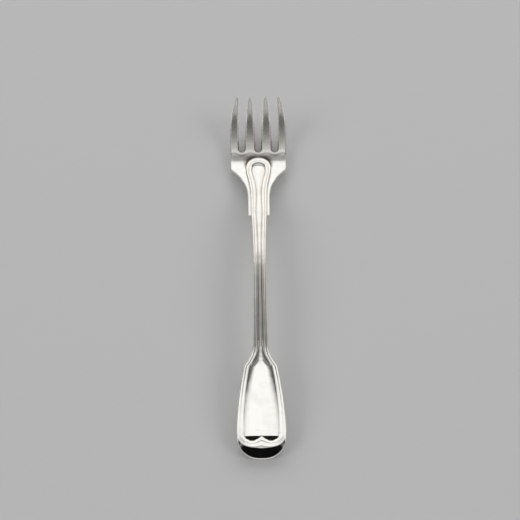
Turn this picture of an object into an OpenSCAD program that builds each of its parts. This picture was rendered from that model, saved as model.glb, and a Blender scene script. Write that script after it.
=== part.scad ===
// Child's silver fork in the fiddle and thread pattern, struck from one bar.
// Millimetres. The length runs along Y with the tines towards +Y, and Z is up.
// It rests tines up, on the belly below the slot ends and on the end of the handle.

/* [Lengths] */
// Handle end to the widest line of the handle
end_length = 9; // [7:0.1:12]
// Widest line of the handle to the shoulder corners
fiddle_length = 22.6; // [16:0.1:30]
// Shoulder corners to the start of the slim stem
shoulder_length = 9.3; // [6:0.1:13]
// Slim stem, up to the step where the wings end
stem_length = 50.9; // [38:0.1:62]
// Step to the shoulder corners of the palm
neck_length = 22.7; // [18:0.1:30]
// Shoulder corners of the palm to the roots of the tines
palm_length = 9.2; // [6:0.1:12]
// Roots of the tines to their tips
tine_length = 18.3; // [15:0.1:24]
// Lowest line of the belly to the roots of the tines
belly_length = 5.4; // [4:0.1:7]

/* [Widths] */
// Widest part of the handle
handle_width = 17; // [13:0.1:21]
// Across the shoulder corners of the handle
shoulder_width = 11.7; // [9.5:0.1:13.5]
// Stem where it starts to flare into the handle
flare_width = 5.3; // [4.6:0.1:6.2]
// Narrowest part of the stem
stem_width = 4.7; // [4.2:0.1:5.4]
// Threaded strap where it passes the step
step_width = 5.8; // [5:0.1:6.4]
// Widest part of the thread loop on the palm
loop_width = 9.2; // [8:0.1:11]
// Neck across the two plain wings
neck_width = 8; // [7.4:0.1:9.2]
// Palm across the outer tines
palm_width = 20.6; // [18:0.1:24]

/* [Tines] */
// Width of each slot between two tines
slot_width = 2.2; // [1.8:0.1:3]
// Distance between the middles of two slots
slot_pitch = 6.1; // [5.4:0.1:6.8]
// Width of a tine where the taper to the tip begins
tine_width = 2.9; // [2.2:0.1:3.3]
// Width of a tine just before its rounded tip
tip_width = 1.4; // [0.9:0.05:1.8]
// Distance between the tips of the two inner tines
inner_tip_span = 5.8; // [5:0.1:6.6]
// Distance between the tips of the two outer tines
outer_tip_span = 15.2; // [13.5:0.1:18]
// Outward bow of the outer tines halfway along them
tine_bow = 0.23; // [0:0.01:0.5]

/* [Side view] */
// Underside of the stem above the table, at its highest
arch_height = 6.6; // [4:0.1:10]
// Underside of the neck above the table, at the step
neck_height = 4.5; // [2.5:0.1:6.5]
// Slope of the neck at the step, rise over run
neck_slope = 0.18; // [0.1:0.01:0.3]
// Rise of the tips above the belly
tip_rise = 9.1; // [6:0.05:11]
// Length of the down-turned end of the handle
curl_length = 7.1; // [5:0.1:10]
// Drop of the down-turned end over that length
curl_drop = 1.82; // [1.2:0.02:2.6]

/* [Thickness] */
// Handle at its end
end_thickness = 1.6; // [1.4:0.05:2.2]
// Handle where its end turns down
curl_thickness = 1.95; // [1.6:0.05:2.6]
// Handle at the shoulder corners
handle_thickness = 2.1; // [1.7:0.05:2.8]
// Stem at its narrowest part
stem_thickness = 2.9; // [2.4:0.05:3.6]
// Neck at the step, below the thread loop
neck_thickness = 2.7; // [2.2:0.05:3.4]
// Palm at the roots of the tines
palm_thickness = 1.9; // [1.5:0.05:2.5]
// Tines at their tips
tip_thickness = 1.1; // [0.8:0.05:1.5]
// Rounding of the edges of palm and tines
edge_round = 0.4; // [0.3:0.05:0.8]
// Rounding of the upper edges of a tine where its taper begins
tine_round = 0.8; // [0.5:0.05:1]
// Rounding of the corners where the wings end
step_round = 0.8; // [0.4:0.05:1]

/* [Threads] */
// Width of the double thread on the stem
stem_border = 1.75; // [1.4:0.05:1.9]
// Width of the double thread on the handle
handle_border = 2.6; // [2:0.05:3.2]
// Width of the double thread on the loop
loop_border = 2.2; // [1.8:0.05:2.8]
// Depth of the groove between the threads and the panel
thread_depth = 0.28; // [0.15:0.01:0.4]
// Plain crescent between the handle end and the outer thread
crescent = 3.1; // [2:0.1:3.6]
// Width of the shoulder along the edge of the panel
panel_round = 2.2; // [1.2:0.1:3]
// Width of the double thread along the handle end
end_border = 2.2; // [1.6:0.1:2.8]
// Rise of the pointed cusp in the middle of the handle end
cusp_height = 2; // [1:0.1:2.4]
// Width of the cusp
cusp_width = 7.4; // [5:0.1:9]
// Roll of the crescent down to the edge
end_roll = 0.8; // [0.5:0.05:1.1]
// Height of the thread loop above the palm
loop_relief = 0.4; // [0.34:0.01:0.6]
// Length of the round arch of the loop
arch_length = 5.8; // [4.5:0.1:7]
// Width of the double thread at the top of the arch
arch_border = 3.7; // [3:0.1:4.4]
// Plain palm between the top of the arch and the middle slot
loop_gap = 2.4; // [1.4:0.1:3.4]
// Clearance below the thread loop
loop_seat = 0.01; // [0.005:0.005:0.05]

/* [Hidden] */
silver = [0.80, 0.80, 0.79];

// Shares of the stem at its highest and narrowest places, of the neck at its solid's end and its parallel
// part, and of the loop at its knee
apex_share = 0.33;
waist_share = 0.6;
cut_share = 0.55;
parallel_share = 0.33;
knee_share = 0.75;

// Places along the length, from the handle end
wide = end_length;
corner = wide + fiddle_length;
flare = corner + shoulder_length;
apex = flare + apex_share * stem_length;
waist = flare + waist_share * stem_length;
step = flare + stem_length;
neck_cut = step + cut_share * neck_length;
shoulder = step + neck_length;
root = shoulder + palm_length;
belly = root - belly_length;
total = root + tine_length;
arch_top = root - slot_width / 2 - loop_gap;
loop_wide = arch_top - arch_length;
loop_knee = step + knee_share * (loop_wide - step);

// Slopes of the outlines, half width over length
corner_slope = 0.2;
flare_slope = 0.78;
stem_slope = 0.03;
step_slope = 0.05;
knee_slope = 0.17;
palm_slope = 1.05;

// Corner of the palm: how far the curve starts inside it, and its length
palm_corner = 0.45;
palm_corner_length = 1.3;

// Gain and loss of thickness per length along the strap and along the head
end_gain = 0.05;
curl_gain = 0.03;
handle_gain = 0.01;
neck_loss = 0.02;
root_loss = 0.01;
tip_loss = 0.04;

// Powers of the round ends: 2 is an ellipse, more is squarer
end_power = 2.4;
thread_power = 3;
arch_power = 2.3;
cusp_power = 1.6;

// Rounding of edges: below the handle end, share of the strap's thickness, of the loop's relief and of
// the plate's thickness, half width of the tips, and how late the back of the neck grows rounder
under_roll = 0.3;
strap_edge = 0.3;
loop_edge = 0.7;
loop_fall = loop_edge * loop_relief;
plate_edge = 0.55;
tip_end = 0.12;
back_power = 1.5;

// A smooth curve through keys of [place, value, slope before, slope after]
function span(keys, y, i = 0) = (i >= len(keys) - 2 || y <= keys[i + 1][0]) ? i : span(keys, y, i + 1);
function piece(a, b, t) = let (h = b[0] - a[0])
    a[1] * (1 + 2 * t) * pow(1 - t, 2) + b[1] * t * t * (3 - 2 * t)
    + h * t * pow(1 - t, 2) * a[3] + h * t * t * (t - 1) * b[2];
function along(keys, y) = let (i = span(keys, y), a = keys[i], b = keys[i + 1])
    piece(a, b, (y - a[0]) / (b[0] - a[0]));
function mix(a, b, t) = a + (b - a) * t;

// Half widths of the threaded strap and of the head below it
strap_keys = [
    [wide, handle_width / 2, 0, 0],
    [corner, shoulder_width / 2, -corner_slope, -flare_slope],
    [flare, flare_width / 2, -stem_slope, -stem_slope],
    [waist, stem_width / 2, 0, 0],
    [step, step_width / 2, step_slope, step_slope / 2],
    [loop_knee, (step_width + loop_width) / 4, knee_slope, knee_slope],
    [loop_wide, loop_width / 2, 0, 0]
];
head_keys = [
    [step, neck_width / 2, 0, 0],
    [mix(step, shoulder, parallel_share), neck_width / 2, 0, 0],
    [shoulder, palm_width / 2 - palm_corner, palm_slope, palm_slope],
    [shoulder + palm_corner_length, palm_width / 2, 0, 0],
    [root, palm_width / 2, 0, 0]
];
function strap_half(y) = along(strap_keys, y);
function step_cut(y) = let (d = max(0, step_round - (y - step)))
    step_round - sqrt(max(0, step_round * step_round - d * d));
function head_half(y) = along(head_keys, y) - step_cut(y);

// Underside in side view, with the handle end and the belly on the table
curl_exit = 2 * (arch_height - curl_drop) / (apex - curl_length);
curl_entry = 2 * (curl_drop + under_roll) / curl_length - curl_exit;
// Slope at the roots as a share of the tines' mean slope, and the rise of the roots that follows from it
root_bend = 0.6;
root_share = root_bend / 2 * belly_length / tine_length;
root_rise = tip_rise * root_share / (1 + root_share);
tine_slope = (tip_rise - root_rise) / tine_length;
under_keys = [
    [0, -under_roll, curl_entry, curl_entry],
    [curl_length, curl_drop, curl_exit, curl_exit],
    [apex, arch_height, 0, 0],
    [step, neck_height, -neck_slope, -neck_slope],
    [belly, 0, 0, 0],
    [root, root_rise, root_bend * tine_slope, root_bend * tine_slope],
    [total, tip_rise, (2 - root_bend) * tine_slope, 0]
];
strap_thick_keys = [
    [0, end_thickness, end_gain, end_gain],
    [curl_length, curl_thickness, curl_gain, handle_gain],
    [corner, handle_thickness, handle_gain, handle_gain],
    [waist, stem_thickness, 0, 0],
    [step, neck_thickness + loop_relief, 0, 0]
];
head_thick_keys = [
    [step, neck_thickness, 0, -neck_loss],
    [root, palm_thickness, -root_loss, -root_loss],
    [total, tip_thickness, -tip_loss, 0]
];
function under(y) = along(under_keys, y);
function strap_thick(y) = along(strap_thick_keys, y);
function head_thick(y) = along(head_thick_keys, y);

// Lines of the section: 0 at the edge, over the double thread to 1 beside the panel, 2 in the middle
rim_line = 0.08;
outer_crest = 0.2;
groove_line = 0.45;
inner_crest = 0.725;
lines = [0, 0.03, rim_line, outer_crest, 0.38, groove_line, 0.52, inner_crest, 0.9, 1, 1.12, 1.35, 1.75];
middle_line = 2;

// Groove between the two threads, as a share of the thread depth, and how flat the threads are
handle_groove = 0.2;
stem_groove = 0.4;
arch_groove = 0.05;
thread_flat = 3.2;
// Share of the arch's inner thread that falls evenly, and the fall of both threads to their foot
arch_lean = 0.35;
arch_slant = 0.3;
// Groove and inner crest at a round end, as shares of the border there
handle_end_lines = [0.62, 0.8];
arch_lines = [0.5, 0.62];
// Threads along the handle end, which lean back: drop as a share of the thread depth
end_threads = [[rim_line, -0.6], [0.42, 0.25], [groove_line, 0.3], [0.475, -0.13], [0.92, 0.2]];
last_thread = end_threads[len(end_threads) - 1][0];
// Cusp within the panel, its share at the outer thread, and two lobes where the panel dips beside it
cusp_rise = min(cusp_height, 0.75 * (wide - crescent - end_border));
rim_cusp = 0.2;
lobe_slope = 0.07;
lobe_end = crescent + end_border + 0.9 * cusp_rise;
// Where a row has turned from the sides' section to the end's, as shares of the way round
turn_start = 0.1;
turn_length = 0.5;

// Width of the double thread: share of the handle's at the corners, what it gains beside the waist and
// at the knee of the loop
corner_share = 0.35;
flare_gain = 0.05;
step_gain = 0.1;
knee_gain = 0.2;
corner_narrowing = 0.02;
stem_narrowing = 0.01;
border_keys = [
    [wide, handle_border, 0, 0],
    [corner, mix(stem_border, handle_border, corner_share), -corner_narrowing, -corner_narrowing],
    [flare, stem_border + flare_gain, -stem_narrowing, -stem_narrowing],
    [waist, stem_border, 0, 0],
    [step, stem_border + step_gain, stem_narrowing, stem_narrowing],
    [loop_knee, loop_border + knee_gain, 0, 0],
    [loop_wide, loop_border, 0, 0]
];
function border(y) = along(border_keys, y);
function clamp(t) = min(1, max(0, t));
function inset(c, half, band) = c <= 1 ? c * band : band + (c - 1) * (half - band);
function end_inset(c, reach, plain, band, start, places) = c > 1
    ? mix(plain + band, reach, c - 1)
    : plain * clamp(c / rim_line)
        + band * lookup(c, [[start, 0], [groove_line, places[0]], [inner_crest, places[1]], [1, 1]]);

// Drop below the crests: flat-topped threads, the rounded edge and the panel's shoulder
function crown(t) = pow(clamp(t), thread_flat);
function inner_fall(t, lean) = mix(crown(t), clamp(t), lean);
function thread_share(c, groove, lean) = c <= groove_line
    ? groove * crown((c - outer_crest) / (groove_line - outer_crest))
    : c <= inner_crest ? groove * crown((inner_crest - c) / (inner_crest - groove_line))
    : inner_fall((c - inner_crest) / (1 - inner_crest), lean);
function panel_share(c, width) = pow(1 - clamp((c - 1) * width / min(panel_round, width)), 2);
function edge_share(c) = let (q = max(0, 1 - c / outer_crest)) 1 - sqrt(1 - q * q);
function side_drop(c, edge, width, groove, lean = 0) = edge * edge_share(c)
    + thread_depth * (c <= 1 ? thread_share(c, groove, lean) : panel_share(c, width));
function lobe(y) = lobe_slope * max(0, lobe_end - y);
function end_thread(c, leaning) = leaning ? lookup(c, end_threads) : thread_share(c, handle_groove, 0);
function end_drop(c, y, roll, leaning) = roll * max(0, 1 - c / rim_line)
    + mix(thread_depth * end_thread(c, leaning), lobe(y), clamp((c - last_thread) / (1 - last_thread)));
function edge_drop(y) = strap_edge * strap_thick(y);
function groove(y) = mix(handle_groove, stem_groove, clamp((y - corner) / (flare - corner)));

// Fan of rows round an end: share of the half width, from the side to the middle
fan = [0.995, 0.98, 0.95, 0.9, 0.82, 0.72, 0.61, 0.49, 0.37, 0.25, 0.12, 0];
function round_share(u, power) = pow(1 - pow(u, power), 1 / power);
function turned(rise) = let (t = clamp((rise - turn_start) / turn_length)) t * t * (3 - 2 * t);
function cusp_share(c) = c < rim_line ? 0 : c > 1 ? middle_line - c
    : mix(rim_cusp, 1, (c - rim_line) / (1 - rim_line));
function cusp(c, x) = cusp_rise * cusp_share(c) * pow(max(0, 1 - abs(x) / (cusp_width / 2)), cusp_power);

// Points of the strap at a straight row and at a fan row, as [x, y, drop]
function side_point(c, y) = let (half = strap_half(y), band = border(y))
    [half - inset(c, half, band), y, side_drop(c, edge_drop(y), half - band, groove(y))];
function handle_fan_point(c, u, roll, leaning) = let (
    half = handle_width / 2 - inset(c, handle_width / 2, handle_border),
    reach = wide - end_inset(c, wide, crescent, end_border, rim_line, handle_end_lines),
    rise = round_share(u, mix(end_power, thread_power, clamp(c / rim_line))),
    y = wide - reach * rise + cusp(c, half * u),
    side = side_drop(c, edge_drop(wide), handle_width / 2 - handle_border, handle_groove))
    [half * u, y, mix(side, end_drop(c, y, roll, leaning), turned(rise))];
function loop_fan_point(c, u) = let (
    half = loop_width / 2 - inset(c, loop_width / 2, loop_border),
    reach = arch_length - end_inset(c, arch_length, 0, arch_border, 0, arch_lines),
    rise = round_share(u, arch_power),
    width = loop_width / 2 - loop_border,
    side = side_drop(c, loop_fall, width, stem_groove),
    end = side_drop(c, loop_fall, width, arch_groove, arch_lean)
        + arch_slant * max(0, 1 - c / inner_crest))
    [half * u, loop_wide + reach * rise, mix(side, end, turned(rise))];

// Heights of the strap and of the head
function strap_top(p) = [p[0], p[1] - total / 2, under(p[1]) + strap_thick(p[1]) - p[2]];
function strap_under(p) = [p[0], p[1] - total / 2, under(p[1]) + p[2]];
function loop_base(p) = [p[0], p[1] - total / 2, under(p[1]) + head_thick(p[1]) + loop_seat];
function loop_top(p) = loop_base(p) + [0, 0, loop_relief - loop_seat - min(p[2], loop_fall)];
function fall(e, r) = plate_edge * (1 - sqrt(1 - pow(1 - min(1, e / r), 2)));
function top_round(y) = mix(edge_round, tine_round, clamp((y - root) / (taper_share * tine_length)));
function head_top(x, y, e) = [x, y - total / 2,
    under(y) + head_thick(y) * (1 - fall(e, top_round(y)) / 2)];
function under_round(y) = mix(edge_round, neck_width / 3,
    pow(max(0, (root - y) / (root - step)), back_power));
function head_under(x, y, e) = [x, y - total / 2, under(y) + head_thick(y) * fall(e, under_round(y)) / 2];

function mirrored(p) = [-p[0], p[1], p[2]];
function two(a, b, c, d) = [[a, b, c], [a, c, d]];
function flat(rows) = [for (row = rows) each row];

// Closed solid between two grids of points, rows towards +Y and columns towards +X
module slab(top, low) {
    m = len(top);
    n = len(top[0]);
    s = m * n;
    faces = flat([
        for (i = [0 : m - 2]) for (j = [0 : n - 2]) let (a = i * n + j) each [
            two(a, a + n, a + n + 1, a + 1),
            two(s + a, s + a + 1, s + a + n + 1, s + a + n)
        ],
        for (j = [0 : n - 2]) let (a = (m - 1) * n + j) each [
            two(a + 1, a, s + a, s + a + 1),
            two(j, j + 1, s + j + 1, s + j)
        ],
        for (i = [0 : m - 2]) let (a = i * n, b = i * n + n - 1) each [
            two(a + n, a, s + a, s + a + n),
            two(b, b + n, s + b + n, s + b)
        ]
    ]);
    polyhedron(concat(flat(top), flat(low)), faces);
}

// Closed solid with one cut end and one rounded end. Each row runs from the edge inwards,
// the rows run round the rounded end, and the spine closes the middle.
module loop_solid(top, low, top_spine, low_spine, turned) {
    m = len(top);
    n = len(top[0]);
    r = len(top_spine);
    s = m * n;
    q = 2 * s;
    function spine(i) = q + min(i, m - 1 - i, r - 1);
    function edge(i, j) = j < n ? i * n + j : spine(i);
    function low_edge(i, j) = j < n ? s + i * n + j : r + spine(i);
    sheets = [
        for (i = [0 : m - 2]) for (j = [0 : n - 1]) let (
            a = edge(i, j), b = edge(i, j + 1), c = edge(i + 1, j + 1), d = edge(i + 1, j),
            e = low_edge(i, j), f = low_edge(i, j + 1), g = low_edge(i + 1, j + 1), h = low_edge(i + 1, j))
            each (b == c ? [[a, b, d], [e, h, f]]
                : concat(two(a, b, c, d), two(e, h, g, f)))
    ];
    rim = flat([for (i = [0 : m - 2]) two(edge(i, 0), edge(i + 1, 0), low_edge(i + 1, 0), low_edge(i, 0))]);
    cut = flat([for (j = [0 : n - 1]) each [
        two(edge(0, j + 1), edge(0, j), low_edge(0, j), low_edge(0, j + 1)),
        two(edge(m - 1, j), edge(m - 1, j + 1), low_edge(m - 1, j + 1), low_edge(m - 1, j))
    ]]);
    faces = concat(sheets, rim, cut);
    polyhedron(concat(flat(top), flat(low), top_spine, low_spine),
        turned ? [for (f = faces) [f[2], f[1], f[0]]] : faces);
}

// Rows of one half, then the same rows mirrored in the opposite order
function round_rows(rows) = concat([for (row = rows) [for (p = row) mirrored(p)]],
    [for (i = [len(rows) - 2 : -1 : 0]) rows[i]]);

module handle() {
    straight = concat([for (i = [0 : 8]) mix(flare, corner, i / 8)],
        [for (i = [1 : 8]) mix(corner, wide, i / 8)]);
    function half_rows(roll, leaning) = concat(
        [for (y = straight) [for (c = lines) side_point(c, y)]],
        [for (u = fan) [for (c = lines) handle_fan_point(c, u, roll, leaning)]]);
    top = [for (row = half_rows(end_roll, true)) [for (p = row) strap_top(p)]];
    low = [for (row = half_rows(under_roll, false)) [for (p = row) strap_under(p)]];
    spine = [for (y = straight) side_point(middle_line, y)];
    color(silver)
        loop_solid(round_rows(top), round_rows(low), [for (p = spine) strap_top(p)],
            [for (p = spine) strap_under(p)], false);
}

module stem() {
    rows = [for (i = [0 : 16]) mix(flare, step, i / 16)];
    function row(y) = concat(
        [for (c = lines) mirrored(side_point(c, y))],
        [side_point(middle_line, y)],
        [for (i = [len(lines) - 1 : -1 : 0]) side_point(lines[i], y)]);
    color(silver)
        slab([for (y = rows) [for (p = row(y)) strap_top(p)]],
            [for (y = rows) [for (p = row(y)) strap_under(p)]]);
}

module thread_loop() {
    straight = [for (i = [0 : 11]) mix(step, loop_wide, i / 11)];
    rows = concat(
        [for (y = straight) [for (c = lines) side_point(c, y)]],
        [for (u = fan) [for (c = lines) loop_fan_point(c, u)]]);
    spine = [for (y = straight) side_point(middle_line, y)];
    color(silver)
        loop_solid(round_rows([for (row = rows) [for (p = row) loop_top(p)]]),
            round_rows([for (row = rows) [for (p = row) loop_base(p)]]),
            [for (p = spine) loop_top(p)], [for (p = spine) loop_base(p)], true);
}

module neck() {
    shares = [1, 0.98, 0.94, 0.86, 0.74, 0.58, 0.36, 0];
    across = concat([for (f = shares) -f], [for (i = [len(shares) - 2 : -1 : 0]) shares[i]]);
    rows = concat([for (f = [0, 0.06, 0.2, 0.5]) step + f * step_round],
        [for (i = [0 : 7]) mix(step + step_round, neck_cut, i / 7)]);
    color(silver)
        slab([for (y = rows) [for (f = across) head_top(f * head_half(y), y, (1 - abs(f)) * head_half(y))]],
            [for (y = rows) [for (f = across) head_under(f * head_half(y), y, (1 - abs(f)) * head_half(y))]]);
}

// Tines: middle and half width at a share of the length, side -1 or 1
tine_shares = [-1, -0.94, -0.8, -0.52, 0, 0.52, 0.8, 0.94, 1];
slot_half = slot_width / 2;
// Palm behind the slot ends where its columns bend round them
slot_apron = 1.2;
function root_middle(outer) = outer ? (palm_width / 2 + slot_pitch + slot_half) / 2 : slot_pitch / 2;
function root_half(outer) = outer ? (palm_width / 2 - slot_pitch - slot_half) / 2
    : slot_pitch / 2 - slot_half;
// How late the tines lean to their tips, where the taper and the tip begin, and their slopes there
tine_lean = 2.6;
taper_share = 0.62;
taper_slope = 0.5;
tip_share = 0.95;
tip_slope = 3.2;
tip_round = 14;
function tine_tip(outer) = (outer ? outer_tip_span : inner_tip_span) / 2;
function tine_middle(outer, t) = mix(root_middle(outer), tine_tip(outer), pow(t, tine_lean))
    + (outer ? tine_bow * sin(180 * t) : 0);
function tine_half(outer, t) = along([
    [0, root_half(outer), 0, 0],
    [taper_share, tine_width / 2, -taper_slope, -taper_slope],
    [tip_share, tip_width / 2, -tip_slope, -tip_slope],
    [1, tip_end, -tip_round, 0]], t);

module tine(side, outer) {
    steps = [0, 0.08, 0.17, 0.27, 0.37, 0.47, 0.57, 0.66, 0.74, 0.81, 0.87, 0.92, 0.95, 0.975, 0.99, 1];
    function x_at(f, t) = side * tine_middle(outer, t) + f * tine_half(outer, t);
    function e_at(f, t) = (1 - abs(f)) * tine_half(outer, t);
    function y_at(t) = mix(root, total, t);
    color(silver)
        slab([for (t = steps) [for (f = tine_shares) head_top(x_at(f, t), y_at(t), e_at(f, t))]],
            [for (t = steps) [for (f = tine_shares) head_under(x_at(f, t), y_at(t), e_at(f, t))]]);
}

module left_outer_tine() {
    tine(-1, true);
}

module left_inner_tine() {
    tine(-1, false);
}

module right_inner_tine() {
    tine(1, false);
}

module right_outer_tine() {
    tine(1, true);
}

// Columns of the palm at its front, as [x, y], with an arc at each slot
function root_columns(side, outer) = [for (f = tine_shares)
    [side * root_middle(outer) + f * root_half(outer), root]];
function slot_columns(middle) = [for (a = [165, 140, 115, 90, 65, 40, 15])
    [middle + slot_half * cos(a), root - slot_half * sin(a)]];
palm_front = concat(root_columns(-1, true), slot_columns(-slot_pitch), root_columns(-1, false),
    slot_columns(0), root_columns(1, false), slot_columns(slot_pitch), root_columns(1, true));
function slot_edge(x, y) = min([for (m = [-1, 0, 1])
    norm([x - m * slot_pitch, root - y]) - slot_half]);
function palm_edge(x, y) = max(0, min(head_half(y) - abs(x), slot_edge(x, y)));

module palm() {
    behind = root - slot_half - slot_apron;
    rows = [for (i = [0 : 8]) mix(neck_cut, behind, i / 8)];
    near = [0.45, 0.75, 0.9, 1];
    function place(c, y) = [c[0] * head_half(y) / head_half(root), y];
    function front_place(c, t) = [mix(place(c, behind)[0], c[0], t), mix(behind, c[1], t)];
    grid = concat([for (y = rows) [for (c = palm_front) place(c, y)]],
        [for (t = near) [for (c = palm_front) front_place(c, t)]]);
    color(silver)
        slab([for (row = grid) [for (p = row) head_top(p[0], p[1], palm_edge(p[0], p[1]))]],
            [for (row = grid) [for (p = row) head_under(p[0], p[1], palm_edge(p[0], p[1]))]]);
}

left_outer_tine();
left_inner_tine();
right_inner_tine();
right_outer_tine();
palm();
neck();
thread_loop();
stem();
handle();
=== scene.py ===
"""A child's silver fork in the fiddle and thread pattern, lying tines up on a plain grey table."""
import math

import bpy
import numpy as np
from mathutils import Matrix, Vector


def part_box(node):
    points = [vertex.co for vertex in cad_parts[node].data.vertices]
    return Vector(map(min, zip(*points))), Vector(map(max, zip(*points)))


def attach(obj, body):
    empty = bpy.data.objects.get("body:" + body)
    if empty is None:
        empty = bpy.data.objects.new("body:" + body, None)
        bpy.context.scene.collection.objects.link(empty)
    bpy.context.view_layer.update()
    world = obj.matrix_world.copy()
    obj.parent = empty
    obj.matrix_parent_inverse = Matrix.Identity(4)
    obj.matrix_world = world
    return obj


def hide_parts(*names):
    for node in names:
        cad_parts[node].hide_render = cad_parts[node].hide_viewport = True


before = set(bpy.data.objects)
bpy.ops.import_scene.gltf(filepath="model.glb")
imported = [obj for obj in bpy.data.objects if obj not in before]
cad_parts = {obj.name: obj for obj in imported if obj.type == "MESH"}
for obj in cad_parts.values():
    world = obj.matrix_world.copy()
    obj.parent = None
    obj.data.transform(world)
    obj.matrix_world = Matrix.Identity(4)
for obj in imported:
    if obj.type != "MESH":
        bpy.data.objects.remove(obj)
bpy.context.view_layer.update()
bpy.ops.object.select_all(action="DESELECT")

MM = 0.001
HANDLE_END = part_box("handle")[0].y / MM


def far_end(node):
    """Place along the length where a CAD node ends, in millimetres from the handle end."""
    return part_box(node)[1].y / MM - HANDLE_END


def half_width(node):
    """Half the width of a CAD node that lies on the middle line, in millimetres."""
    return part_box(node)[1].x / MM


# Places along the length and half widths that the frame gives, in millimetres
FLARE = far_end("handle")
STEP = far_end("stem")
NECK_CUT = far_end("neck")
ROOT = far_end("palm")
TOTAL = far_end("left_inner_tine")
ARCH_TOP = far_end("thread_loop")
HANDLE_HALF = half_width("handle")
LOOP_HALF = half_width("thread_loop")
PALM_HALF = half_width("palm")

# Other places along the length, in millimetres from the handle end
WIDE = 9.0
CORNER = 31.6
SHOULDER = ROOT - 9.2
BELLY = ROOT - 5.4
APEX = FLARE + 0.33 * (STEP - FLARE)
WAIST = FLARE + 0.6 * (STEP - FLARE)
ARCH_LENGTH = 5.8
LOOP_WIDE = ARCH_TOP - ARCH_LENGTH
LOOP_KNEE = STEP + 0.75 * (LOOP_WIDE - STEP)

# Half widths and other sizes seen from above, in millimetres
CORNER_HALF = 5.85
FLARE_HALF = 2.65
WAIST_HALF = 2.35
STEP_HALF = 2.9
NECK_HALF = 4.0
SLOT_HALF = 1.1
SLOT_PITCH = 6.1
TINE_HALF = 1.45
TIP_HALF = 0.7
TIP_END = 0.12
INNER_TIP = 2.9
OUTER_TIP = 7.6
TINE_BOW = 0.229
PALM_CORNER = 0.45
PALM_CORNER_LENGTH = 1.3
SLOT_APRON = 1.2

# The tines lean out late, and their sides taper, then close to a blunt tip, by shares of the length
TINE_LEAN = 2.6
TAPER = 0.62
TAPER_SLOPE = 0.5
TIP_SHARE = 0.95
TIP_SLOPE = 3.2
TIP_BLUNT = 14

# Side view and thickness: sizes in millimetres, with slopes, shares and a power
ARCH_HEIGHT = 6.6
NECK_HEIGHT = 4.5
NECK_SLOPE = 0.18
ROOT_BEND = 0.6
TIP_RISE = 9.1
CURL_LENGTH = 7.1
CURL_DROP = 1.82
UNDER_ROLL = 0.3
END_THICK = 1.6
CURL_THICK = 1.95
HANDLE_THICK = 2.1
STEM_THICK = 2.9
NECK_THICK = 2.7
PALM_THICK = 1.9
TIP_THICK = 1.1
EDGE_ROUND = 0.4
TINE_ROUND = 0.8
STEP_ROUND = 0.8
BACK_POWER = 1.5

# Fall at the rounded edges as a share of the thickness
PLATE_EDGE = 0.55
STRAP_EDGE = 0.3

# Border, panel and handle end in millimetres, with one slope
HANDLE_BORDER = 2.6
STEM_BORDER = 1.75
LOOP_BORDER = 2.2
END_BORDER = 1.8
ARCH_BORDER = 3.7
THREAD_DEPTH = 0.28
PANEL_ROUND = 2.2
PANEL_TAIL = 1.0
RIDGE_FLAT = 0.24
LOBE_SLOPE = 0.07
LOOP_RELIEF = 0.4
LOOP_EDGE = 0.7 * LOOP_RELIEF
LOOP_SEAT = 0.01
CRESCENT = 3.5
END_ROLL = 0.9
RIM_DROP = 0.18
CUSP_HEIGHT = 2.0
CUSP_HALF = 3.7
LOBE_END = CRESCENT + END_BORDER + 0.9 * CUSP_HEIGHT

# Lines of the section as shares of the border, and groove and inner crest again for the two round ends
RIM_SHARE = 0.08
OUTER_CREST = 0.2
GROOVE = 0.45
INNER_CREST = 0.725
END_LINES = [0.62, 0.8]
ARCH_LINES = [0.5, 0.62]

# Depth of the groove between the threads and of the bed beside the panel, as shares of the thread depth
HANDLE_GROOVE = 0.2
HANDLE_BED = 0.5
GROOVE_SHARE = 0.4
ARCH_GROOVE = 0.05

# At the top of the arch: share of a straight inner flank, and fall to the foot in millimetres
ARCH_LEAN = 0.35
ARCH_SLANT = 0.3

# Handle end: width of the rounded rim as a share of the crescent, rise below which the crescent's horns grow
# no narrower, and the cusp's share at the outer thread
RIM_WIDTH = 0.07
HORN_RISE = 0.3
RIM_CUSP = 0.2

# Rise of a round end at which its rows begin to turn to its own section, and over which they do
TURN_START = 0.1
TURN_LENGTH = 0.5

# Tarnish and painted shade: strengths from 0 to 1, widths and places in millimetres, and shares of a length
# Painted shade at the slot ends, where the tines meet the palm
SLOT_SHADE_WIDTH = 0.55
SLOT_SHADE_SHARE = 0.25
# Painted shade in a wavy band across the palm below the slot ends
BAND_SHADE = 0.5
BAND_BACK = 1.7
BAND_WAVE = 0.5
BAND_WIDTH = 0.5
# Painted shade on the tines, as a thin grey film
TINE_SHADE = 0.4
TINE_SHADE_START = 3.0
TINE_SHADE_END = 5.4
TINE_SHADE_ROUND = 4.0
TINE_SHADE_FADE = 1.2
# Painted shade along the foot of the thread loop
LOOP_FOOT = 0.6
FOOT_SIDES = 0.3
FOOT_WIDTH = 0.25
FOOT_CORNERS = 1.6
FOOT_POWER = 3
# Tarnish and painted shade in the stem's grooves: where its lines end, where its grooves end, and where both
# are nearly gone
STEM_LINES_END = 66
STEM_GROOVES_END = 72
STEM_LINES_GONE = 80
GROOVE_LINE = 0.07

# Satin of use on the head, in millimetres from the handle end
WEAR_START = ROOT - 9
WEAR_FULL = ROOT + 3

# Power of the threads' section: more is flatter on top
THREAD_FLAT = 3.2

# Powers of the round ends: 2 is an ellipse, more is squarer
END_POWER = 2.4
THREAD_POWER = 3.0
ARCH_POWER = 2.3
CUSP_POWER = 1.6


def mix(a, b, t):
    """From a to b by the share t."""
    return a + (b - a) * t


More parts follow.
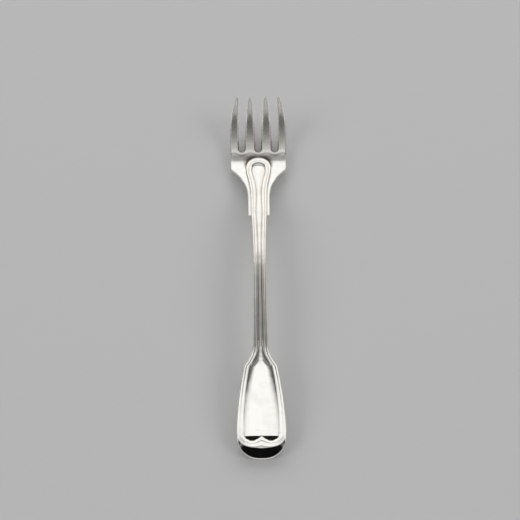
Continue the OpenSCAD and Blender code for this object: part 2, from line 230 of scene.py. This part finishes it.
def along(keys, y):
    """A smooth curve through keys of (place, value, slope before, slope after)."""
    y = np.asarray(y, float)
    places = [key[0] for key in keys]
    index = np.clip(np.searchsorted(places, y, side="left") - 1, 0, len(keys) - 2)
    table = np.array(keys, float)
    a, b = table[index], table[index + 1]
    h = b[..., 0] - a[..., 0]
    t = (y - a[..., 0]) / h
    return (a[..., 1] * (1 + 2 * t) * (1 - t) ** 2 + b[..., 1] * t * t * (3 - 2 * t)
            + h * t * (1 - t) ** 2 * a[..., 3] + h * t * t * (t - 1) * b[..., 2])


# Half width of the strap: handle, stem and thread loop
STRAP_KEYS = [
    (WIDE, HANDLE_HALF, 0, 0),
    (CORNER, CORNER_HALF, -0.2, -0.78),
    (FLARE, FLARE_HALF, -0.03, -0.03),
    (WAIST, WAIST_HALF, 0, 0),
    (STEP, STEP_HALF, 0.05, 0.025),
    (LOOP_KNEE, (STEP_HALF + LOOP_HALF) / 2, 0.17, 0.17),
    (LOOP_WIDE, LOOP_HALF, 0, 0),
]
# Half width of the head: neck and palm
HEAD_KEYS = [
    (STEP, NECK_HALF, 0, 0),
    (mix(STEP, SHOULDER, 0.33), NECK_HALF, 0, 0),
    (SHOULDER, PALM_HALF - PALM_CORNER, 1.05, 1.05),
    (SHOULDER + PALM_CORNER_LENGTH, PALM_HALF, 0, 0),
    (ROOT, PALM_HALF, 0, 0),
]
# Underside along the middle: curled handle end, arch, neck, belly on the table, rising tines
CURL_EXIT = 2 * (ARCH_HEIGHT - CURL_DROP) / (APEX - CURL_LENGTH)
CURL_ENTRY = 2 * (CURL_DROP + UNDER_ROLL) / CURL_LENGTH - CURL_EXIT
ROOT_SHARE = ROOT_BEND / 2 * (ROOT - BELLY) / (TOTAL - ROOT)
ROOT_RISE = TIP_RISE * ROOT_SHARE / (1 + ROOT_SHARE)
TINE_SLOPE = (TIP_RISE - ROOT_RISE) / (TOTAL - ROOT)
UNDER_KEYS = [
    (0, -UNDER_ROLL, CURL_ENTRY, CURL_ENTRY),
    (CURL_LENGTH, CURL_DROP, CURL_EXIT, CURL_EXIT),
    (APEX, ARCH_HEIGHT, 0, 0),
    (STEP, NECK_HEIGHT, -NECK_SLOPE, -NECK_SLOPE),
    (BELLY, 0, 0, 0),
    (ROOT, ROOT_RISE, ROOT_BEND * TINE_SLOPE, ROOT_BEND * TINE_SLOPE),
    (TOTAL, TIP_RISE, (2 - ROOT_BEND) * TINE_SLOPE, 0),
]
STRAP_THICK_KEYS = [
    (0, END_THICK, 0.05, 0.05),
    (CURL_LENGTH, CURL_THICK, 0.03, 0.01),
    (CORNER, HANDLE_THICK, 0.01, 0.01),
    (WAIST, STEM_THICK, 0, 0),
    (STEP, NECK_THICK + LOOP_RELIEF, 0, 0),
]
HEAD_THICK_KEYS = [
    (STEP, NECK_THICK, 0, -0.02),
    (ROOT, PALM_THICK, -0.01, -0.01),
    (TOTAL, TIP_THICK, -0.04, 0),
]
# Width of the double-thread border
BORDER_KEYS = [
    (WIDE, HANDLE_BORDER, 0, 0),
    (CORNER, mix(STEM_BORDER, HANDLE_BORDER, 0.35), -0.02, -0.02),
    (FLARE, STEM_BORDER + 0.05, -0.01, -0.01),
    (WAIST, STEM_BORDER, 0, 0),
    (STEP, STEM_BORDER + 0.1, 0.01, 0.01),
    (LOOP_KNEE, LOOP_BORDER + 0.2, 0, 0),
    (LOOP_WIDE, LOOP_BORDER, 0, 0),
]


def under(y):
    """Height of the underside."""
    return along(UNDER_KEYS, y)


def strap_thick(y):
    return along(STRAP_THICK_KEYS, y)


def head_thick(y):
    return along(HEAD_THICK_KEYS, y)


def head_half(y):
    """Half width of neck and palm, with the rounded corner where the wings end."""
    d = np.maximum(0, STEP_ROUND - (np.asarray(y, float) - STEP))
    cut = STEP_ROUND - np.sqrt(np.maximum(0, STEP_ROUND ** 2 - d * d))
    return along(HEAD_KEYS, y) - cut


# The strap's section runs from the edge at 0 over the double thread to 1, then over the panel to 2.
# Its steps are finest at the rim and in the bed beside the panel.
ACROSS = np.concatenate([RIM_SHARE * np.linspace(0, 1, 25) ** 1.5, np.linspace(RIM_SHARE, 1, 53)[1:],
                         1 + np.linspace(0, 1, 33)[1:] ** 1.6])


def inset(c, half, band):
    """How far a line of the section lies from the strap's side."""
    return np.where(c <= 1, c * band, band + (c - 1) * (half - band))


def end_inset(c, reach, plain, band, start, shares):
    """How far a line of the section lies from the round end, at its middle."""
    threads = np.interp(c, [start, GROOVE, INNER_CREST, 1], [0, *shares, 1])
    rim = plain * np.minimum(1, c / RIM_SHARE)
    return np.where(c <= 1, rim + threads * band, plain + band + (c - 1) * (reach - plain - band))


def arc(u):
    """Section of a flat-topped thread: 0 at its crest and 1 in the grooves beside it."""
    return np.clip(u, 0, 1) ** THREAD_FLAT


def panel_share(c, width, rounding):
    """Fall of the panel's shoulder towards the groove beside it."""
    reach = np.minimum(rounding, width - RIDGE_FLAT)
    return (1 - np.minimum(1, np.maximum(0, c - 1) * width / reach)) ** 2


def thread_share(c, groove, lean=0.0):
    """Depth below the crests as a share of the thread depth, without the edge and the panel."""
    outer = groove * arc((c - OUTER_CREST) / (GROOVE - OUTER_CREST))
    valley = groove * arc((INNER_CREST - c) / (INNER_CREST - GROOVE))
    fall = np.clip((c - INNER_CREST) / (1 - INNER_CREST), 0, 1)
    inner = mix(arc(fall), fall, lean)
    return np.where(c <= GROOVE, outer, np.where(c <= INNER_CREST, valley, inner))


def side_drop(c, edge, width, groove, lean=0.0, bed=1.0):
    """Depth below the crests across a straight part of the strap."""
    q = np.maximum(0, 1 - c / OUTER_CREST)
    share = np.where(c <= 1, thread_share(c, groove, lean), panel_share(c, width, PANEL_ROUND))
    share = share * np.where(c > INNER_CREST, bed, 1)
    return share * THREAD_DEPTH + edge * (1 - np.sqrt(1 - q * q))


# The threads along the handle end lean back: crest by the crescent, fall to the groove, and again
END_PLACES = [RIM_SHARE, 0.42, GROOVE, 0.475, 0.92]
END_SHARES = [-0.6, 0.25, 0.3, -0.13, 0.2]


def end_drop(c, y, roll, rise, leaning):
    """The crescent rolls down to the edge, and the panel dips in two lobes beside the cusp."""
    q = np.maximum(0, 1 - c / RIM_SHARE)
    share = np.interp(c, END_PLACES, END_SHARES) if leaning else thread_share(c, HANDLE_GROOVE)
    threads = share * THREAD_DEPTH
    lobe = LOBE_SLOPE * np.maximum(0, LOBE_END - y)
    inside = np.clip((c - END_PLACES[-1]) / (1 - END_PLACES[-1]), 0, 1)
    narrow = np.maximum(rise, HORN_RISE) ** 2
    rim = np.clip(1 - (1 - q) * narrow / RIM_WIDTH, 0, 1)
    return mix(threads, lobe, inside) + roll * q * narrow + RIM_DROP * (1 - np.sqrt(1 - rim ** 2))


def edge_drop(y):
    """Fall of the strap's rounded edge."""
    return STRAP_EDGE * strap_thick(y)


def side_rows(places):
    """Rows of the right half at straight stations, as arrays of x, y and drop."""
    y, c = np.meshgrid(places, ACROSS, indexing="ij")
    half = along(STRAP_KEYS, y)
    band = along(BORDER_KEYS, y)
    groove = np.interp(y, [CORNER, FLARE], [HANDLE_GROOVE, GROOVE_SHARE])
    bed = np.interp(y, [WIDE, CORNER], [HANDLE_BED, 1])
    return half - inset(c, half, band), y, side_drop(c, edge_drop(y), half - band, groove, bed=bed)


def round_share(u, power):
    """Height of a round end at a share u of its half width, as a share of its reach."""
    return (1 - u ** power) ** (1 / power)


# Shares of the half width at which a round end has its rows, from the sides to the middle
FAN = np.cos(np.linspace(0, math.pi / 2, 61)[1:]) ** 0.8
FAN[-1] = 0


def turned(rise):
    """How far a row has turned from the sides' section to that of the round end."""
    t = np.clip((rise - TURN_START) / TURN_LENGTH, 0, 1)
    return t * t * (3 - 2 * t)


def handle_fan(roll, leaning):
    """Rows of the right half round the handle end, with the cusp in the middle."""
    u, c = np.meshgrid(FAN, ACROSS, indexing="ij")
    half = HANDLE_HALF - inset(c, HANDLE_HALF, HANDLE_BORDER)
    reach = WIDE - end_inset(c, WIDE - PANEL_TAIL, CRESCENT, END_BORDER, RIM_SHARE, END_LINES)
    rise = round_share(u, np.interp(c, [0, RIM_SHARE], [END_POWER, THREAD_POWER]))
    cusp_share = np.interp(c, [RIM_SHARE * 0.9, RIM_SHARE, 1, 2], [0, RIM_CUSP, 1, 0])
    cusp = CUSP_HEIGHT * cusp_share * np.maximum(0, 1 - half * u / CUSP_HALF) ** CUSP_POWER
    y = WIDE - reach * rise + cusp
    side = side_drop(c, edge_drop(WIDE), HANDLE_HALF - HANDLE_BORDER, HANDLE_GROOVE, bed=HANDLE_BED)
    return half * u, y, mix(side, end_drop(c, y, roll, rise, leaning), turned(rise))


def loop_fan():
    """Rows of the right half round the arch on the palm."""
    u, c = np.meshgrid(FAN, ACROSS, indexing="ij")
    half = LOOP_HALF - inset(c, LOOP_HALF, LOOP_BORDER)
    reach = ARCH_LENGTH - end_inset(c, ARCH_LENGTH, 0, ARCH_BORDER, 0, ARCH_LINES)
    rise = round_share(u, ARCH_POWER)
    width = LOOP_HALF - LOOP_BORDER
    side = side_drop(c, LOOP_EDGE, width, GROOVE_SHARE)
    end = side_drop(c, LOOP_EDGE, width, ARCH_GROOVE, ARCH_LEAN)
    end = end + ARCH_SLANT * np.maximum(0, 1 - c / INNER_CREST)
    return half * u, LOOP_WIDE + reach * rise, mix(side, end, turned(rise))


def whole(right):
    """Rows of both halves: the left ones towards the round end, then the right ones back."""
    x, y, drop = right
    return tuple(np.concatenate([sign * a, a[-2::-1]]) for a, sign in ((x, -1), (y, 1), (drop, 1)))


def stack(*parts):
    """Rows of several parts, one after the other."""
    return tuple(np.concatenate(arrays) for arrays in zip(*parts))


def lift(x, y, z):
    """Points of the row frame in metres."""
    return np.stack([x, y + HANDLE_END, z], axis=-1) * MM


def edge_fall(e, r):
    """Fall of a plate's edge rounded over r at a distance e from it, as a share of the thickness."""
    return PLATE_EDGE * (1 - np.sqrt(1 - (1 - np.minimum(1, e / r)) ** 2))


def head_faces(x, y, e):
    """Upper and lower points of neck, palm and tines at a distance e from their edge."""
    back = mix(EDGE_ROUND, 2 * NECK_HALF / 3, np.maximum(0, (ROOT - y) / (ROOT - STEP)) ** BACK_POWER)
    top_round = mix(EDGE_ROUND, TINE_ROUND, np.clip((y - ROOT) / (TAPER * (TOTAL - ROOT)), 0, 1))
    upper = under(y) + head_thick(y) * (1 - edge_fall(e, top_round) / 2)
    lower = under(y) + head_thick(y) * edge_fall(e, back) / 2
    return lift(x, y, upper), lift(x, y, lower)


# Points closer than this many millimetres are one, and edges sharper than this many degrees stay sharp
MERGE = 0.0005
SHARP_ANGLE = 38


def sheet(points, tarnish):
    """A grid primitive with its points put in place and its tarnish and painted shade kept as an attribute.
    """
    rows, columns = points.shape[:2]
    bpy.ops.mesh.primitive_grid_add(x_subdivisions=columns - 1, y_subdivisions=rows - 1)
    mesh = bpy.context.object.data
    mesh.vertices.foreach_set("co", points.reshape(-1))
    mesh.attributes.new("tarnish", "FLOAT", "POINT").data.foreach_set("value", tarnish.reshape(-1))
    return bpy.context.object


def piece(node, upper, lower, tarnish):
    """A closed solid between two sheets, which stands for the CAD node of the same name."""
    bpy.ops.object.select_all(action="DESELECT")
    low_sheet = sheet(lower, tarnish)
    obj = sheet(upper, tarnish)
    low_sheet.select_set(True)
    bpy.ops.object.join()
    bpy.ops.object.mode_set(mode="EDIT")
    bpy.ops.mesh.select_mode(type="EDGE")
    bpy.ops.mesh.select_all(action="SELECT")
    bpy.ops.mesh.remove_doubles(threshold=MERGE * MM)
    bpy.ops.mesh.select_all(action="DESELECT")
    bpy.ops.mesh.select_non_manifold()
    bpy.ops.mesh.bridge_edge_loops()
    bpy.ops.mesh.select_all(action="SELECT")
    bpy.ops.mesh.normals_make_consistent(inside=False)
    bpy.ops.object.mode_set(mode="OBJECT")
    bpy.ops.object.shade_smooth_by_angle(angle=math.radians(SHARP_ANGLE))
    obj.name = "silver_" + node
    obj.data.name = obj.name
    obj.data.materials.append(SILVER)
    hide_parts(node)
    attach(obj, "root")
    return obj


def strap_piece(node, upper_rows, lower_rows, tarnish):
    """A piece of the strap from rows of its upper and its lower side."""
    x, y, drop = upper_rows
    low_x, low_y, low_drop = lower_rows
    upper = lift(x, y, under(y) + strap_thick(y) - drop)
    lower = lift(low_x, low_y, under(low_y) + low_drop)
    return piece(node, upper, lower, groove_tarnish_and_shade(y, *tarnish))


def groove_tarnish_and_shade(y, between, beside, width, panel, foot=0.0):
    """Tarnish and painted shade in the groove between the threads and in the bed beside the panel, and
    painted shade at the foot if given.

    The two strengths are lists of (place along the fork, strength), and the two widths are shares of the
    border and of the panel."""
    c = ACROSS if y.shape[1] == len(ACROSS) else np.concatenate([ACROSS, ACROSS[-2::-1]])
    first = np.interp(y, *zip(*between)) * np.exp(-((c - GROOVE) / GROOVE_LINE) ** 2)
    second = np.interp(y, *zip(*beside)) * np.exp(-((c - 1) / np.where(c < 1, width, panel)) ** 2)
    third = np.broadcast_to(foot * np.maximum(0, 1 - c / RIM_SHARE), y.shape)
    return np.maximum.reduce([first, second, third])


def loop_foot_shade(x, y):
    """Painted shade on neck and palm along the foot of the thread loop, most at the top of the arch."""
    straight = np.abs(x) - along(STRAP_KEYS, np.minimum(y, LOOP_WIDE))
    ahead = np.maximum(0, y - LOOP_WIDE) / ARCH_LENGTH
    level = ((np.abs(x) / LOOP_HALF) ** ARCH_POWER + ahead ** ARCH_POWER) ** (1 / ARCH_POWER)
    distance = np.where(y > LOOP_WIDE, (level - 1) * ARCH_LENGTH, straight)
    width = FOOT_WIDTH + FOOT_CORNERS * np.abs(x) / LOOP_HALF * ahead
    strength = mix(FOOT_SIDES, 1.0, np.minimum(1, 2 * ahead))
    return strength * np.exp(-(np.maximum(0, distance) / width) ** FOOT_POWER)


def handle():
    """Fiddle shaped end with the border, the bare panel, and the crescent below the cusp."""
    places = np.concatenate([np.linspace(FLARE, CORNER, 49), np.linspace(CORNER, WIDE, 65)[1:]])
    straight = side_rows(places)
    upper = whole(stack(straight, handle_fan(END_ROLL, True)))
    lower = whole(stack(straight, handle_fan(UNDER_ROLL, False)))
    # Tarnish and painted shade in the handle's grooves and in the bed beside the panel
    between = [(CORNER, 0), (FLARE, 0.25)]
    beside = [(WIDE, 0.2), (CORNER - 8, 0.25), (CORNER, 0.4), (FLARE, 0.6)]
    return strap_piece("handle", upper, lower, (between, beside, 0.08, 0.1))


def stem():
    """Slim part with the two threads of each side and a ridge between them."""
    x, y, drop = side_rows(np.linspace(FLARE, STEP, 121))
    rows = tuple(np.concatenate([sign * a, a[:, -2::-1]], axis=1)
                 for a, sign in ((x, -1), (y, 1), (drop, 1)))
    # Tarnish and painted shade in the stem's grooves: strong low on the stem, nearly gone towards the neck
    between = [(FLARE, 0.35), (STEM_GROOVES_END, 0.4), (STEM_LINES_GONE, 0.05)]
    beside = [(FLARE, 0.85), (STEM_LINES_END, 0.8), (STEM_LINES_GONE, 0.1)]
    return strap_piece("stem", rows, rows, (between, beside, 0.11, 0.3))


def thread_loop():
    """Raised arch of the double thread, on neck and palm."""
    x, y, drop = whole(stack(side_rows(np.linspace(STEP, LOOP_WIDE, 65)), loop_fan()))
    base = under(y) + head_thick(y) + LOOP_SEAT
    top = base - LOOP_SEAT + LOOP_RELIEF - np.minimum(drop, LOOP_EDGE)
    # Tarnish and painted shade in the loop's grooves, and painted shade along its outer foot
    tarnish = groove_tarnish_and_shade(y, [(0, 0.25)], [(0, 0.4)], 0.1, 0.08, LOOP_FOOT)
    return piece("thread_loop", lift(x, y, top), lift(x, y, base), tarnish)


def neck():
    """Tapering part with the two plain wings."""
    places = np.concatenate([STEP + STEP_ROUND * np.linspace(0, 1, 17) ** 2,
                             np.linspace(STEP + STEP_ROUND, NECK_CUT, 41)[1:]])
    y, f = np.meshgrid(places, np.sin(np.linspace(-math.pi / 2, math.pi / 2, 121)), indexing="ij")
    half = head_half(y)
    x = f * half
    # Painted shade on the neck along the foot of the thread loop
    return piece("neck", *head_faces(x, y, (1 - np.abs(f)) * half), loop_foot_shade(x, y))


# Steps across a tine, as shares of its half width
SHARES = np.sin(np.linspace(-math.pi / 2, math.pi / 2, 33))


def root_middle(outer):
    """Middle of a tine where it leaves the palm, on the right half."""
    return (PALM_HALF + SLOT_PITCH + SLOT_HALF) / 2 if outer else SLOT_PITCH / 2


def root_half(outer):
    return (PALM_HALF - SLOT_PITCH - SLOT_HALF) / 2 if outer else SLOT_PITCH / 2 - SLOT_HALF


def tine_shade(y, across=0.0):
    """Painted shade on the tines as a thin grey film, which fades in on the palm and ends in a round line
    before the tips.
    """
    short = np.clip((TOTAL - TINE_SHADE_END - TINE_SHADE_ROUND * across ** 2 - y) / TINE_SHADE_FADE, 0, 1)
    return TINE_SHADE * np.clip((y - ROOT + TINE_SHADE_START) / TINE_SHADE_START, 0, 1) * short


def tine(node, side, outer):
    """One tine, with the rounded back, painted shade by the slot at its root, and the painted shade that the
    palm has too.
    """
    t, f = np.meshgrid(1 - (1 - np.linspace(0, 1, 121)) ** 1.6, SHARES, indexing="ij")
    half = along([(0, root_half(outer), 0, 0), (TAPER, TINE_HALF, -TAPER_SLOPE, -TAPER_SLOPE),
                  (TIP_SHARE, TIP_HALF, -TIP_SLOPE, -TIP_SLOPE), (1, TIP_END, -TIP_BLUNT, 0)], t)
    middle = mix(root_middle(outer), OUTER_TIP if outer else INNER_TIP, t ** TINE_LEAN)
    if outer:
        middle = middle + TINE_BOW * np.sin(math.pi * t)
    x = side * middle + f * half
    y = mix(ROOT, TOTAL, t)
    edge = (1 - np.abs(f)) * half
    inward = f * side < 0 if outer else np.ones_like(f, bool)
    # Painted shade on the slot sides at the root, where the tine meets the palm
    slot = np.exp(-(edge / SLOT_SHADE_WIDTH) ** 2 - (t / SLOT_SHADE_SHARE) ** 2) * inward
    return piece(node, *head_faces(x, y, edge), np.maximum(slot, tine_shade(y, f)))


def palm():
    """The plate in columns that end at the tines' roots and round the slot ends."""
    front = []
    angles = np.radians(np.linspace(180, 0, 27)[1:-1])
    for side, outer, slot in ((-1, True, -1), (-1, False, 0), (1, False, 1), (1, True, None)):
        middle = side * root_middle(outer)
        front += [(middle + f * root_half(outer), ROOT) for f in SHARES]
        if slot is not None:
            front += [(slot * SLOT_PITCH + SLOT_HALF * math.cos(a), ROOT - SLOT_HALF * math.sin(a))
                      for a in angles]
    front_x, front_y = np.array(front).T
    behind = ROOT - SLOT_HALF - SLOT_APRON
    back = np.linspace(NECK_CUT, behind, 97)[:, None]
    near = 1 - (1 - np.linspace(0, 1, 29)[1:, None]) ** 1.8
    behind_x = front_x * head_half(behind) / PALM_HALF
    x = np.concatenate([front_x * head_half(back) / PALM_HALF, mix(behind_x, front_x, near)])
    y = np.concatenate([np.broadcast_to(back, (len(back), len(front_x))), mix(behind, front_y, near)])
    slots = np.minimum.reduce([np.hypot(x - m * SLOT_PITCH, ROOT - y) - SLOT_HALF for m in (-1, 0, 1)])
    edge = np.minimum(head_half(y) - np.abs(x), slots)
    # Painted shade round the slot ends
    slot_ends = np.exp(-(np.maximum(0, slots) / SLOT_SHADE_WIDTH) ** 2)
    # A wavy band of painted shade across the palm, below the slot ends
    wave = ROOT - BAND_BACK - BAND_WAVE * (1 + np.cos(2 * math.pi * x / SLOT_PITCH))
    band = BAND_SHADE * np.exp(-((y - wave) / BAND_WIDTH) ** 2)
    tarnish = np.maximum.reduce([slot_ends, band, loop_foot_shade(x, y), tine_shade(y)])
    return piece("palm", *head_faces(x, y, np.maximum(0, edge)), tarnish)


def linear(hex_colour):
    """An sRGB hex colour as linear RGBA."""
    values = [int(hex_colour[i:i + 2], 16) / 255 for i in (1, 3, 5)]
    return [v / 12.92 if v <= 0.04045 else ((v + 0.055) / 1.055) ** 2.4 for v in values] + [1]


def add(tree, kind, inputs=None, stops=(), **settings):
    """One node with its settings, its inputs as values or as sockets to link, and a ramp's stops."""
    node = tree.nodes.new(kind)
    for name, value in settings.items():
        setattr(node, name, value)
    for key, value in (inputs or {}).items():
        if isinstance(value, bpy.types.NodeSocket):
            tree.links.new(value, node.inputs[key])
        else:
            node.inputs[key].default_value = value
    for _ in stops[2:]:
        node.color_ramp.elements.new(0.5)
    for element, (place, value) in zip(node.color_ramp.elements if stops else (), stops):
        element.position = place
        element.color = (value, value, value, 1) if isinstance(value, float) else value
    return node


def new_material(name):
    """A material with its node tree and its shader."""
    material = bpy.data.materials.new(name)
    material.use_nodes = True
    return material, material.node_tree, material.node_tree.nodes["Principled BSDF"]


def polished_silver():
    """Hand-polished sterling silver: a warm white mirror with lines along the fork, grey-brown where tarnish
    and painted shade are marked on the pieces, and tines worn to a satin."""
    material, tree, shader = new_material("hand_polished_sterling_silver")
    shader.inputs["Metallic"].default_value = 1
    place = add(tree, "ShaderNodeTexCoord").outputs["Object"]
    tarnish = add(tree, "ShaderNodeAttribute", attribute_name="tarnish").outputs["Fac"]
    # Handled silver is never quite even: clouds about 5 mm wide, a little greyer than the clean metal
    clouds = add(tree, "ShaderNodeTexNoise", {"Vector": place, "Scale": 1 / (5 * MM), "Detail": 3.0})
    clean = add(tree, "ShaderNodeValToRGB", {"Fac": clouds.outputs["Fac"]},
                [(0.45, linear("#fefcf7")), (0.7, linear("#f4f2ec"))])
    # Tarnish of silver sulphide and painted shade: one grey-brown colour that the pieces' attribute puts in
    # place
    colour = add(tree, "ShaderNodeMix", {0: tarnish, 6: clean.outputs["Color"], 7: linear("#5c5246")},
                 data_type="RGBA")
    tree.links.new(colour.outputs[2], shader.inputs["Base Color"])
    # Polishing lines along the fork, 0.2 mm wide and 8 mm long: coarser than real ones, so that they show
    stretch = add(tree, "ShaderNodeMapping", {
        "Vector": place,
        "Scale": (1 / (0.2 * MM), 1 / (8 * MM), 1 / (0.8 * MM)),
    })
    lines = add(tree, "ShaderNodeTexNoise", {"Vector": stretch.outputs[0], "Scale": 1.0, "Detail": 3.0})
    hairlines = lines.outputs["Fac"]
    polish = add(tree, "ShaderNodeValToRGB", {"Fac": hairlines}, [(0.3, 0.06), (0.75, 0.1)])
    ahead = add(tree, "ShaderNodeSeparateXYZ", {0: place}).outputs["Y"]
    # Wear of use makes the metal rougher from the shoulders to beyond the roots of the tines
    wear = add(tree, "ShaderNodeMapRange", {
        "Value": ahead,
        "From Min": (HANDLE_END + WEAR_START) * MM,
        "From Max": (HANDLE_END + WEAR_FULL) * MM,
        "To Max": 0.19,
    })
    rough = add(tree, "ShaderNodeMath", {0: polish.outputs["Color"], 1: wear.outputs[0]}, operation="ADD")
    tree.links.new(rough.outputs[0], shader.inputs["Roughness"])
    bump = add(tree, "ShaderNodeBump", {"Height": hairlines, "Strength": 0.04, "Distance": 0.02 * MM})
    # Planishing leaves a slow wave, about 4 mm from crest to crest
    waves = add(tree, "ShaderNodeTexNoise", {"Vector": place, "Scale": 1 / (4 * MM), "Detail": 1.0})
    wavy = add(tree, "ShaderNodeBump", {
        "Height": waves.outputs["Fac"],
        "Strength": 1.0,
        "Distance": 0.03 * MM,
        "Normal": bump.outputs[0],
    })
    tree.links.new(wavy.outputs[0], shader.inputs["Normal"])
    return material


SILVER = polished_silver()
handle()
stem()
thread_loop()
neck()
palm()
for tine_side, side_name in ((-1, "left"), (1, "right")):
    for is_outer, row_name in ((True, "outer"), (False, "inner")):
        tine(f"{side_name}_{row_name}_tine", tine_side, is_outer)


def floor():
    """A plain matt table top in pale grey."""
    material, _, shader = new_material("matt_grey_table")
    shader.inputs["Base Color"].default_value = linear("#e6e6e6")
    shader.inputs["Roughness"].default_value = 0.9
    bpy.ops.object.select_all(action="DESELECT")
    bpy.ops.mesh.primitive_plane_add(size=6)
    plane = bpy.context.object
    plane.name = "table_top"
    plane.data.materials.append(material)


# What the metal mirrors: brightness of a light tent by the angle from the front horizon over the top to the
# back horizon, in degrees, straight ahead, a little to the side and far to the side
WARM_SIDE = (0.9, 0.87, 0.83, 1)
MIDDLE = [(0, 0.75), (35, 0.75), (39, 0.003), (55, 0.003), (57, 0.65), (73, 0.65), (75, 0.005), (88.5, 0.005),
          (91, 1.0), (104.9, 1.0), (106.2, 0.42), (107.4, 0.34), (110, 0.28), (114, 0.3), (118, 0.32),
          (121, 0.35), (123.4, 0.41), (124.3, 0.5), (125.3, 1.0), (180, 1.0)]
BESIDE = [(0, 0.65), (35, 0.65), (39, 0.003), (64, 0.003), (67, 0.35), (80, 0.3), (86, 0.35), (92, 0.85),
          (97, 0.8), (99, 0.72), (102.6, 0.4), (104.5, 0.22), (106, 0.12), (124.2, 0.12),
          (125.6, WARM_SIDE), (180, WARM_SIDE)]
SIDES = [(0, 0.5), (30, 0.8), (60, 0.6), (84, 0.5), (92, 1.0), (104, 1.0), (107, 0.15), (123, 0.15),
         (126, WARM_SIDE), (140, WARM_SIDE), (150, 0.15), (180, 0.15)]

# How far to the side one brightness passes into the next
TO_BESIDE = [(0.03, 0.0), (0.38, 1.0)]
TO_SIDES = [(0.62, 0.0), (0.72, 1.0)]

# Even light on the table from all round
DOME = 0.24


def soft_lamp(name, location, width, height, energy):
    """A rectangular lamp, in metres and watts, that faces the middle of the fork and isn't mirrored in it."""
    turn = Vector(location).to_track_quat("Z", "Y").to_euler()
    bpy.ops.object.light_add(type="AREA", location=location, rotation=turn)
    lamp = bpy.context.object
    lamp.name = name
    lamp.data.shape = "RECTANGLE"
    lamp.data.size = width
    lamp.data.size_y = height
    lamp.data.energy = energy
    lamp.visible_glossy = False


def studio():
    """A light tent that the metal mirrors, an even dome for all else, and lamps behind and at the sides."""
    world = bpy.data.worlds.new("light_tent")
    bpy.context.scene.world = world
    world.use_nodes = True
    tree = world.node_tree
    around = add(tree, "ShaderNodeTexCoord").outputs["Generated"]
    direction = add(tree, "ShaderNodeSeparateXYZ", {0: around}).outputs
    front = add(tree, "ShaderNodeMath", {0: direction["Y"], 1: -1.0}, operation="MULTIPLY").outputs[0]
    angle = add(tree, "ShaderNodeMath", {0: direction["Z"], 1: front}, operation="ARCTAN2").outputs[0]
    turn = add(tree, "ShaderNodeMath", {0: angle, 1: math.pi}, operation="DIVIDE").outputs[0]
    aside = add(tree, "ShaderNodeMath", {0: direction["X"]}, operation="ABSOLUTE").outputs[0]
    middle, beside, sides = (
        add(tree, "ShaderNodeValToRGB", {"Fac": turn}, [(degrees / 180, value) for degrees, value in stops])
        for stops in (MIDDLE, BESIDE, SIDES))
    light = middle.outputs["Color"]
    for passing, further in ((TO_BESIDE, beside), (TO_SIDES, sides)):
        share = add(tree, "ShaderNodeValToRGB", {"Fac": aside}, passing).outputs["Color"]
        light = add(tree, "ShaderNodeMix", {0: share, 6: light, 7: further.outputs["Color"]},
                    data_type="RGBA").outputs[2]
    mirrored = add(tree, "ShaderNodeLightPath").outputs["Is Glossy Ray"]
    seen = add(tree, "ShaderNodeMix", {0: mirrored, 6: (DOME, DOME, DOME, 1), 7: light}, data_type="RGBA")
    tree.links.new(seen.outputs[2], tree.nodes["Background"].inputs["Color"])
    soft_lamp("lamp_behind", (0, 4.0, 1.5), 5.0, 1.2, 105.0)
    soft_lamp("lamp_left", (-4.0, 0, 2.3), 3.0, 2.0, 42.0)
    soft_lamp("lamp_right", (4.0, 0, 2.3), 3.0, 2.0, 42.0)


def camera():
    """The photograph's view, from the handle end and above."""
    azimuth = math.radians(-0.59)
    elevation = math.radians(60)
    distance = 0.6
    target = np.array([0.00015, HANDLE_END * MM + 0.0746, 0.005])
    back = np.array([math.sin(azimuth) * math.cos(elevation), -math.cos(azimuth) * math.cos(elevation),
                     math.sin(elevation)])
    turn = (math.pi / 2 - elevation, 0, azimuth)
    bpy.ops.object.camera_add(location=target + distance * back, rotation=turn)
    view = bpy.context.object
    view.data.lens = 117
    view.data.sensor_width = 36
    bpy.context.scene.camera = view


floor()
studio()
camera()
bpy.context.scene.view_settings.view_transform = "Standard"
